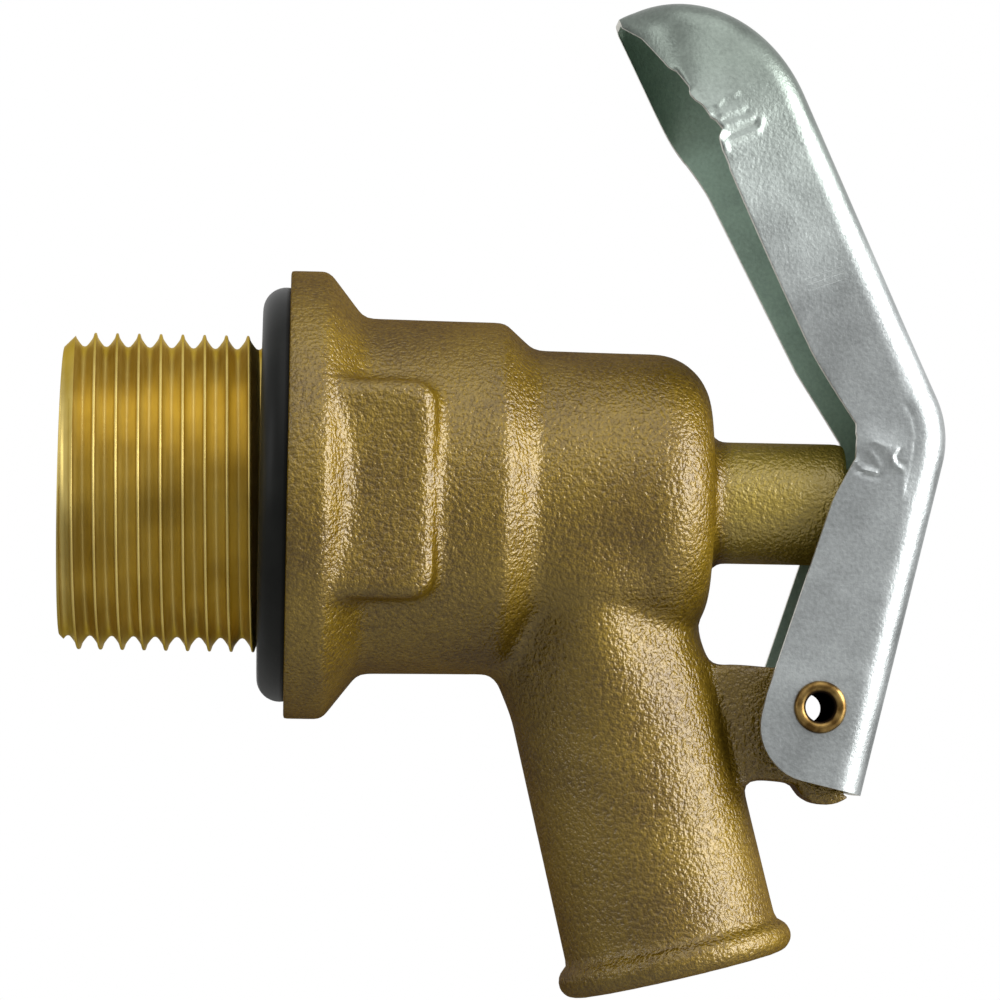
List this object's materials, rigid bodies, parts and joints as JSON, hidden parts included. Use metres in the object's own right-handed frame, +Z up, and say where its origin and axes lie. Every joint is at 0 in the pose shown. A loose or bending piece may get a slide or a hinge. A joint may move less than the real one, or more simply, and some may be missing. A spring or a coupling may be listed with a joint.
{
  "type": "self-closing drum tap",
  "caption": "Cast brass push-lever tap with a parallel inlet thread, sealing flange, slanted beaded spout and a folded steel thumb lever that opens a spring-closed valve.",
  "frame": {"origin": "where the inlet thread's axis meets the flange's sealing face", "axes": "+X along the inlet thread's axis towards the lever, +Z up, +Y away from the pictured side"},
  "size_m": [0.0735, 0.0374, 0.0826],
  "materials": {
    "cast_brass": "sand-cast, lightly blasted, with a bright machined thread",
    "turned_brass": "turned",
    "rivet_brass": "rolled over, slightly tarnished",
    "zinc_plated_steel": "zinc plated and handled, grey with a greenish cast",
    "spring_steel": "drawn wire and stamped strip",
    "seal_rubber": "satin black"
  },
  "bodies": {
    "body": {"valve_body": "cast_brass", "flange_o_ring": "seal_rubber", "return_spring": "spring_steel", "spring_spider": "turned_brass", "retaining_ring": "spring_steel"},
    "lever": {"lever": "zinc_plated_steel", "pivot_rivet": "rivet_brass"},
    "stem": {"valve_stem": "turned_brass", "stem_o_ring_outer": "seal_rubber", "stem_o_ring_inner": "seal_rubber", "seat_washer": "seal_rubber", "backing_washer": "turned_brass", "washer_nut": "turned_brass"}
  },
  "joints": [
    {"name": "lever_pivot", "type": "hinge", "parent": "body", "child": "lever", "pos_m": [0.0443, 0, -0.017], "axis": [0, -1, 0], "range_deg": [0, 16], "stiffness_Nm_per_rad": 0.5, "springref_deg": -26.7},
    {"name": "stem_slide", "type": "slide", "parent": "body", "child": "stem", "axis": [-1, 0, 0], "range_m": [0, 0.005], "deforming": ["return_spring"]}
  ],
  "couplings": [
    {"joint": "stem_slide", "follows": "lever_pivot", "m_per_rad": 0.01715}
  ]
}
